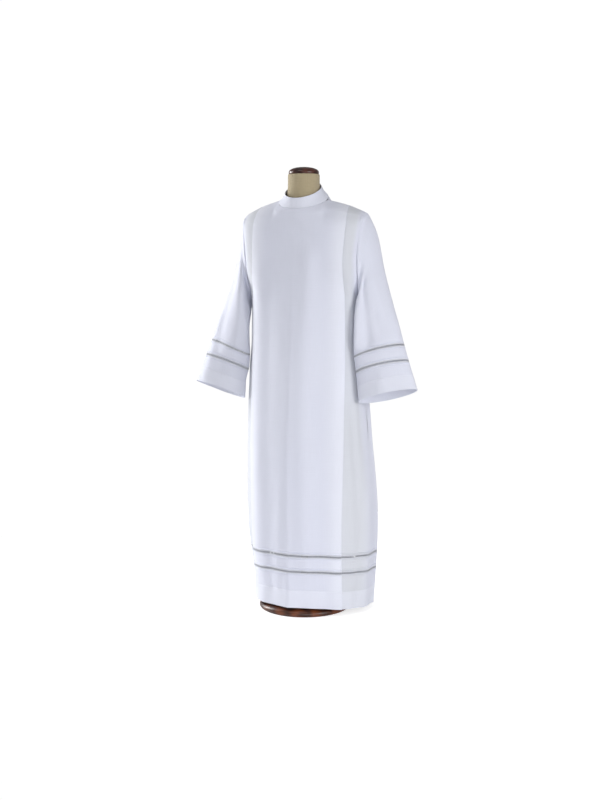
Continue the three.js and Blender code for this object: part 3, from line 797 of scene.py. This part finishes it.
def insertion(name, grid_at, line, step, is_ring, material):
    """An openwork insertion: two edge strips and the ladder between them."""
    edge = INSERTION_WIDTH / 2 - SEAM_GAP / 2
    parts = []
    for start, end in ((-edge, -OPEN_HALF), (OPEN_HALF, edge)):
        grid = grid_at(line + step * np.linspace(start, end, 4))
        points, faces, uv = shell_mesh(grid, CLOTH_THICKNESS, is_ring)
        parts.append((points, facing_out(points, faces), uv))
    points, faces, uv = bars(grid_at, line, step, is_ring)
    parts.append((points, facing_out(points, faces), uv))
    strip_points = len(parts[0][0]) + len(parts[1][0])
    offset = 0
    all_faces = []
    for points, faces, _ in parts:
        all_faces += (faces + offset).tolist()
        offset += len(points)
    points = np.concatenate([part[0] for part in parts])
    uv = np.concatenate([part[2] for part in parts])
    painted_light = np.zeros((len(points), 2))
    # painted shade: the ladder's bars are painted the darker grey
    painted_light[strip_points:, 1] = 1
    return make_object(name, points, all_faces, material, uv, painted_light=painted_light)


# ---- BPY: materials ----


def new_look(name):
    material = bpy.data.materials.new(name)
    material.use_nodes = True
    tree = material.node_tree
    shader = next(n for n in tree.nodes if n.type == "BSDF_PRINCIPLED")
    return material, tree, shader


def feed(tree, made, inputs):
    """Sets the inputs of a node to values, or links them to the sockets that feed them."""
    for key, value in inputs.items():
        if isinstance(value, bpy.types.NodeSocket):
            tree.links.new(value, made.inputs[key])
        else:
            made.inputs[key].default_value = value


def node(tree, kind, inputs=None, **settings):
    made = tree.nodes.new("ShaderNode" + kind)
    for key, value in settings.items():
        setattr(made, key, value)
    feed(tree, made, inputs or {})
    return made


def bump(tree, strength, distance, height, under=None):
    inputs = {"Strength": strength, "Distance": distance, "Height": height}
    if under is not None:
        inputs["Normal"] = under
    return node(tree, "Bump", inputs).outputs[0]


def math_node(tree, operation, first, second=0.0):
    return node(tree, "Math", {0: first, 1: second}, operation=operation).outputs[0]


def mix_colours(tree, share, first, second, kind="MIX"):
    inputs = {0: share, 6: first, 7: second}
    return node(tree, "Mix", inputs, data_type="RGBA", blend_type=kind).outputs[2]


def noise(tree, place, scale, detail=2.0, roughness=0.5):
    inputs = {"Vector": place, "Scale": scale, "Detail": detail, "Roughness": roughness}
    return node(tree, "TexNoise", inputs).outputs["Fac"]


def ranged(tree, value, low, high, new_low, new_high):
    inputs = {0: value, 1: low, 2: high, 3: new_low, 4: new_high}
    return node(tree, "MapRange", inputs).outputs[0]


def scaled(tree, place, scale):
    return node(tree, "Mapping", {"Vector": place, "Scale": scale}).outputs[0]


def weave(tree, place, pitch):
    """A plain weave: threads that rise and dip by turns, as a height from -1 to 1."""
    parts = node(tree, "SeparateXYZ", {0: place}).outputs
    turns = math.pi / pitch
    warp = math_node(tree, "SINE", math_node(tree, "MULTIPLY", parts[0], turns))
    weft = math_node(tree, "SINE", math_node(tree, "MULTIPLY", parts[1], turns))
    return math_node(tree, "MULTIPLY", warp, weft)


def cloth_look(name, colour, shade, pitch, slub, relief, gloss, doubled_light=None, side=None):
    """Woven cloth. The colour wanders to the shade, and slub is how uneven its threads are.
    Painted light makes the thin cloth whiter where it lies doubled, and painted shade makes it
    greyer on the side panel and the ladder's bars."""
    material, tree, shader = new_look(name)
    flat = node(tree, "UVMap", uv_map="Weave").outputs[0]
    solid = node(tree, "TexCoord").outputs["Object"]
    patches = noise(tree, scaled(tree, solid, (5, 5, 1.6)), 1.0, 3.0, 0.55)
    warp_slubs = noise(tree, scaled(tree, flat, (900, 14, 1)), 1.0, 2.0)
    weft_slubs = noise(tree, scaled(tree, flat, (14, 900, 1)), 1.0, 2.0)
    slubs = math_node(tree, "ADD", warp_slubs, weft_slubs)
    tint = mix_colours(tree, ranged(tree, patches, 0.32, 0.68, 0, 1), colour, shade)
    if doubled_light:
        painted_light = node(tree, "UVMap", uv_map="PaintedLight").outputs[0]
        painted_light = node(tree, "SeparateXYZ", {0: painted_light}).outputs
        # painted shade: greyer on the side panel and the ladder's bars
        tint = mix_colours(tree, painted_light[1], tint, side)
        # painted light: whiter where the cloth lies doubled
        tint = mix_colours(tree, painted_light[0], tint, doubled_light)
    value = ranged(tree, slubs, 0.7, 1.3, 1 - slub, 1 + slub)
    grey = node(tree, "CombineXYZ", {0: value, 1: value, 2: value}).outputs[0]
    creased = noise(tree, scaled(tree, solid, (26, 26, 7)), 1.0, 3.0, 0.6)
    soft = bump(tree, 0.5, relief, creased)
    uneven = bump(tree, 0.3, pitch * 0.8, slubs, soft)
    rough = noise(tree, solid, 40.0)
    feed(tree, shader, {
        "Base Color": mix_colours(tree, 1.0, tint, grey, "MULTIPLY"),
        "Roughness": ranged(tree, rough, 0.3, 0.7, gloss - 0.04, gloss + 0.04),
        "Normal": bump(tree, 0.35, pitch * 0.5, weave(tree, flat, pitch), uneven),
        "Sheen Weight": 0.18,
        "Sheen Roughness": 0.5,
        "Specular IOR Level": 0.25,
    })
    return material


def wood_look(name, light, dark, gloss):
    """Varnished dark wood: long grain, pores and a clear coat that is a little uneven."""
    material, tree, shader = new_look(name)
    solid = node(tree, "TexCoord").outputs["Object"]
    along = scaled(tree, solid, (9, 90, 90))
    wander = noise(tree, scaled(tree, solid, (4, 10, 10)), 1.0, 3.0)
    waves = {"Vector": along, "Scale": 0.55, "Distortion": 5.0, "Detail": 3.0}
    rings = node(tree, "TexWave", waves)
    pores = noise(tree, scaled(tree, solid, (120, 1500, 1500)), 1.0, 2.0, 0.7)
    strength = ranged(tree, wander, 0.3, 0.7, 0.5, 1.0)
    grain = math_node(tree, "MULTIPLY", rings.outputs["Fac"], strength)
    colour = mix_colours(tree, grain, dark, light)
    rough = noise(tree, solid, 30.0, 4.0)
    feed(tree, shader, {
        "Base Color": mix_colours(tree, ranged(tree, pores, 0.62, 0.75, 0, 0.6), colour, dark),
        "Roughness": ranged(tree, rough, 0.3, 0.7, gloss, gloss + 0.14),
        "Normal": bump(tree, 0.25, 0.0003, pores),
        "Coat Weight": 0.12,
        "Coat Roughness": 0.12,
    })
    return material


def steel_look(name):
    material, tree, shader = new_look(name)
    solid = node(tree, "TexCoord").outputs["Object"]
    drawn = noise(tree, scaled(tree, solid, (900, 900, 6)), 1.0, 3.0, 0.6)
    dull = noise(tree, solid, 14.0, 4.0, 0.6)
    patches = ranged(tree, dull, 0.35, 0.7, 0, 1)
    feed(tree, shader, {
        "Base Color": mix_colours(tree, patches, (0.55, 0.54, 0.52, 1), (0.42, 0.41, 0.38, 1)),
        "Roughness": ranged(tree, drawn, 0.3, 0.7, 0.3, 0.5),
        "Normal": bump(tree, 0.2, 0.0002, drawn),
        "Metallic": 0.9,
    })
    return material


CLOTH = cloth_look(
    "alb_cloth_look",
    colour=(0.755, 0.775, 0.885, 1),
    shade=(0.725, 0.745, 0.86, 1),
    pitch=0.0006,
    slub=0.02,
    relief=0.0016,
    gloss=0.86,
    # painted light where the cloth lies doubled
    doubled_light=(0.81, 0.83, 0.925, 1),
    # painted shade on the side panel under the pleats
    side=(0.69, 0.71, 0.77, 1),
)
OPENWORK = cloth_look(
    "openwork_look",
    colour=(0.70, 0.715, 0.78, 1),
    shade=(0.64, 0.66, 0.73, 1),
    pitch=0.0007,
    slub=0.05,
    relief=0.0006,
    gloss=0.88,
    doubled_light=(0.70, 0.715, 0.78, 1),
    # painted shade: the darker grey of the ladder's bars
    side=(0.43, 0.44, 0.49, 1),
)
LINEN = cloth_look(
    "form_linen_look",
    colour=(0.50, 0.42, 0.28, 1),
    shade=(0.43, 0.36, 0.23, 1),
    pitch=0.0012,
    slub=0.10,
    relief=0.0010,
    gloss=0.9,
)
BASE_WOOD = wood_look("base_wood_look", (0.20, 0.055, 0.017, 1), (0.045, 0.012, 0.005, 1), 0.3)
CAP_WOOD = wood_look("cap_wood_look", (0.10, 0.028, 0.018, 1), (0.028, 0.009, 0.007, 1), 0.25)
STEEL = steel_look("pole_steel_look")

# ---- Making the pieces ----


def settle(piece, slot, *nodes):
    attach(piece, "root")
    if nodes:
        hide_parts(*nodes)


ROW_SPACING = 6.5


def garment(stem, grid_at, painted_light_at, lengths, is_ring=False):
    """Every piece of the front, the back or a sleeve. lengths says where it starts, where its
    insertions are, where it ends and where its turning is stitched."""
    start, lines, end, turning = lengths
    step = 1 if end > start else -1
    for ending, heights in cut_levels(start, lines, end, turning, ROW_SPACING).items():
        node_name = f"{stem}_{ending}"
        kind = "insertion" if ending.startswith("insertion") else ending
        if kind == "insertion":
            line = lines[0] if ending.endswith("upper") else lines[1]
            piece = insertion(node_name + "_ladder", grid_at, line, step, is_ring, OPENWORK)
            settle(piece, "openwork", node_name)
        else:
            name = node_name + "_cloth"
            painted_light = painted_light_at(heights)
            piece = shell(name, grid_at(heights), CLOTH_THICKNESS, is_ring, CLOTH, painted_light)
            settle(piece, "alb_cloth", node_name)


def make_robe():
    skirt = (SHOULDER_TOP, SKIRT_INSERTIONS, HEM_HEIGHT, HEM_TOP)
    garment("front", front_grid, front_painted_light, skirt)
    garment("back", back_grid, back_painted_light, skirt)
    sleeve = (0, SLEEVE_INSERTIONS, SLEEVE_LENGTH, CUFF_TOP)
    sides = (("sleeve_left", LEFT_SLEEVE_FOLDS, True), ("sleeve_right", RIGHT_SLEEVE_FOLDS, False))
    for stem, folds, is_left in sides:

        def grid_at(alongs, folds=folds, is_left=is_left):
            return sleeve_grid(alongs, folds, is_left)

        garment(stem, grid_at, sleeve_painted_light, sleeve, is_ring=True)


# ---- Collar ----

COLLAR_THICKNESS = 1.9
COLLAR_HEIGHT = 36
# painted light on the collar, as on doubled cloth
COLLAR_PAINTED_LIGHT = 0.4
COLLAR_STITCH_AWAY = 3.5  # from the collar's edges to their stitching


def collar_grid(shares):
    """Rings of the collar from its foot, 0, to its top edge, 1."""
    angle, share = np.meshgrid(round_turn(160), shares)
    table = [(i / (len(COLLAR) - 1),) + row for i, row in enumerate(COLLAR)]
    half_width, half_depth, centre_y, centre_z, slope = (smooth(table, share, k) for k in range(1, 6))
    height = share * COLLAR_HEIGHT
    centre_z = centre_z + np.minimum(share, 0) * COLLAR_HEIGHT
    groove = ridge(height - COLLAR_STITCH_AWAY, 0.9)
    groove = groove + ridge(height - COLLAR_HEIGHT + COLLAR_STITCH_AWAY, 0.9)
    swell = 0.7 * np.sin(np.pi * np.clip(share, 0, 1)) - 0.35 * groove
    swell = swell - 1.6 * ease((0.02 - share) / 0.06)
    waves = 0.5 * np.sin(3 * angle + 0.7) + 0.35 * np.sin(7 * angle + 2.1)
    out = swell + waves * np.sin(np.pi * np.clip(share, 0, 1)) - COLLAR_THICKNESS / 2
    x = (half_width + out) * np.cos(angle)
    y = (half_depth + out) * np.sin(angle)
    return np.stack([x, centre_y + y, centre_z + slope * y], axis=-1)


def make_collar():
    shares = np.linspace(-0.07, 1, 44)
    grid = collar_grid(shares)
    painted_light = np.zeros(grid.shape[:2] + (2,))
    # painted light: the collar is painted whiter
    painted_light[..., 0] = COLLAR_PAINTED_LIGHT
    piece = shell("collar_cloth", grid, COLLAR_THICKNESS, True, CLOTH, painted_light)
    bevel = piece.modifiers.new("edge", "BEVEL")
    bevel.width = 0.0006
    bevel.segments = 2
    bevel.angle_limit = math.radians(50)
    settle(piece, "alb_cloth", "collar")


# ---- Tape under the shoulder seams ----

TAPE_DEPTH = 4.4  # below the outside of the robe
TAPE_REACH = 15  # how far it runs down the front and the back, in the trunk's heights
TAPE_START = 0.60  # its ends, in places across
TAPE_END = 1.97


def make_tapes():
    """A strip of the cloth under each shoulder seam, which backs the pleat's layers."""
    rise = np.linspace(SHOULDER_TOP - TAPE_REACH, SHOULDER_TOP, 7)
    for side, name in ((1, "shoulder_tape_left"), (-1, "shoulder_tape_right")):
        places = side * np.linspace(TAPE_START, TAPE_END, 42)
        halves = []
        for face, heights in ((FRONT, rise), (BACK, rise[::-1])):
            across, height = np.meshgrid(places, heights)
            normal, _ = trunk_frame(face, across, height)
            halves.append(trunk_point(face, across, height) - normal * TAPE_DEPTH)
        middle = (halves[0][-1:] + halves[1][:1]) / 2
        grid = np.concatenate([halves[0][:-1], middle, halves[1][1:]])
        piece = shell(name, grid, CLOTH_THICKNESS, False, CLOTH, np.zeros(grid.shape[:2] + (2,)))
        settle(piece, "alb_cloth")
        flat = tuple(round(arc_lengths(grid, axis)[-1] * MM, 3) for axis in (1, 0))


# ---- The dress form ----


def closed_rings(name, rings, material, uv_width):
    """A solid through rings of points, closed by a point in the middle of each end."""
    count, sides = rings.shape[:2]
    ends = [rings[0].mean(axis=0), rings[-1].mean(axis=0)]
    points = np.concatenate([rings.reshape(-1, 3), ends])
    faces = []
    for ring in range(count - 1):
        for i in range(sides):
            following = (i + 1) % sides
            a, b = ring * sides + i, ring * sides + following
            faces.append([a, b, b + sides, a + sides])
    bottom = count * sides
    for i in range(sides):
        following = (i + 1) % sides
        faces.append([following, i, bottom])
        faces.append([(count - 1) * sides + i, (count - 1) * sides + following, bottom + 1])
    u = np.tile(np.linspace(0, uv_width, sides), count)
    v = np.repeat(arc_lengths(rings, 0), sides)
    uv = np.concatenate([np.stack([u, v], axis=1), [[0, 0], [0, 0]]])
    return make_object(name, points, faces, material, uv, sharp_angle=35)


def form_rings():
    parts = ((780, 1395, 9), (1399, 1484, 3.2), (1488, 1562, 5))
    heights = np.concatenate([spread(*part) for part in parts])
    angle, height = np.meshgrid(round_turn(128), heights)
    half_width, half_depth, centre_y, roundness = (smooth(FORM, height, k) for k in range(1, 5))
    x = half_width * power(np.cos(angle), 2 / roundness)
    y = centre_y + half_depth * power(np.sin(angle), 2 / roundness)
    seam = ridge(height - 1534, 1.2) * 0.6
    inwards = 1 - seam / 60
    rings = np.stack([x * inwards, NECK_Y + (y - NECK_Y) * inwards, height], axis=-1)
    lip = rings[-1:].copy()
    lip[..., :2] = (lip[..., :2] - [0, NECK_Y]) * 0.975 + [0, NECK_Y]
    lip[..., 2] = NECK_TOP
    return np.concatenate([rings, lip])


def turned(name, profile, lift, centre_y, material, first, last, spacing=1.6, sides=128):
    """A turned solid. The profile is smoothed between its first and last named points."""
    line = np.array(profile[first:last], float)
    lengths = np.concatenate([[0], np.cumsum(np.linalg.norm(np.diff(line, axis=0), axis=1))])
    table = [(lengths[i], line[i, 0], line[i, 1]) for i in range(len(line))]
    at = spread(0, lengths[-1], spacing)
    radius, angle = np.meshgrid(smooth(table, at, 1), round_turn(sides), indexing="ij")
    height = np.broadcast_to(smooth(table, at, 2)[:, None], radius.shape) + lift
    rings = np.stack([radius * np.cos(angle), centre_y + radius * np.sin(angle), height], axis=-1)
    return closed_rings(name, rings, material, 2 * np.pi * 60)


def make_form():
    body = closed_rings("form_body_linen", form_rings(), LINEN, 800)
    settle(body, "form_linen", "form_body")
    base = turned("form_base_turned", BASE_PROFILE, 0, 0, BASE_WOOD, 1, -1)
    settle(base, "base_wood", "form_base")
    cap = turned("form_cap_turned", CAP_PROFILE, NECK_TOP + SEAM_GAP, NECK_Y, CAP_WOOD, 1, -1)
    settle(cap, "cap_wood", "form_cap")
    bottom = BASE_PROFILE[-1][1] + SEAM_GAP
    top = FORM[0][0] - SEAM_GAP
    edge = 1.5
    profile = [
        (POLE_RADIUS - edge, bottom), (POLE_RADIUS, bottom + edge), (POLE_RADIUS, bottom + 60),
        (POLE_RADIUS, top - 60), (POLE_RADIUS, top - edge), (POLE_RADIUS - edge, top),
    ]
    pole = turned("form_pole_turned", profile, 0, 0, STEEL, 0, len(profile), 3, 48)
    settle(pole, "pole_metal", "form_pole")


make_form()
make_robe()
make_collar()
make_tapes()

# ---- Floor, world and light ----


def seen_strength(tree, to_others, to_camera):
    """A glow that is stronger where the camera sees it than where it lights the robe."""
    seen = node(tree, "LightPath").outputs["Is Camera Ray"]
    return ranged(tree, seen, 0, 1, to_others, to_camera)


def make_floor():
    reach = 1.7
    mesh = bpy.data.meshes.new("floor")
    corners = [(-reach, -reach, 0), (reach, -reach, 0), (reach, reach, 0), (-reach, reach, 0)]
    mesh.from_pydata(corners, [], [(0, 1, 2, 3)])
    material, tree, shader = new_look("floor_look")
    solid = node(tree, "TexCoord").outputs["Object"]
    pale = mix_colours(tree, noise(tree, solid, 3.0), (0.9, 0.9, 0.91, 1), (0.88, 0.88, 0.89, 1))
    feed(tree, shader, {
        "Base Color": pale,
        "Roughness": 0.9,
        "Emission Color": (1, 1, 1, 1),
        "Emission Strength": seen_strength(tree, 0.10, 0.66),
    })
    mesh.materials.append(material)
    add_object("floor", mesh)


def make_world():
    world = bpy.data.worlds.new("studio")
    world.use_nodes = True
    tree = world.node_tree
    background = next(n for n in tree.nodes if n.type == "BACKGROUND")
    strength = seen_strength(tree, 0.27, 1.02)
    feed(tree, background, {"Strength": strength, "Color": (1, 1, 1, 1)})
    bpy.context.scene.world = world


# name, place, target, width, height, watts
SOFTBOXES = [
    ("softbox_left", (-2.9, 0.3, 1.5), (0, 0, 1.0), 0.9, 2.0, 95),
    ("softbox_right", (3.1, -1.3, 1.4), (0, 0, 0.9), 1.3, 2.0, 47),
    ("softbox_top", (-0.3, -1.9, 3.6), (0, 0, 1.2), 1.6, 1.2, 14),
    ("softbox_low", (1.7, -3.2, 0.8), (0, 0, 0.6), 1.6, 0.8, 24),
    ("softbox_fill", (-2.0, -2.9, 1.1), (-0.2, 0, 0.9), 1.0, 1.0, 5),
]


def softbox(name, place, target, width, height, watts):
    data = bpy.data.lights.new(name, "AREA")
    data.shape = "RECTANGLE"
    data.size = width
    data.size_y = height
    data.energy = watts
    light = add_object(name, data)
    light.location = place
    toward = np.array(target, float) - np.array(place, float)
    turn = math.atan2(toward[0], -toward[1])
    tilt = math.atan2(math.hypot(toward[0], toward[1]), -toward[2])
    light.rotation_euler = (tilt, 0, turn + math.pi)


make_floor()
make_world()
for row in SOFTBOXES:
    softbox(*row)
bpy.context.scene.view_settings.view_transform = "Standard"
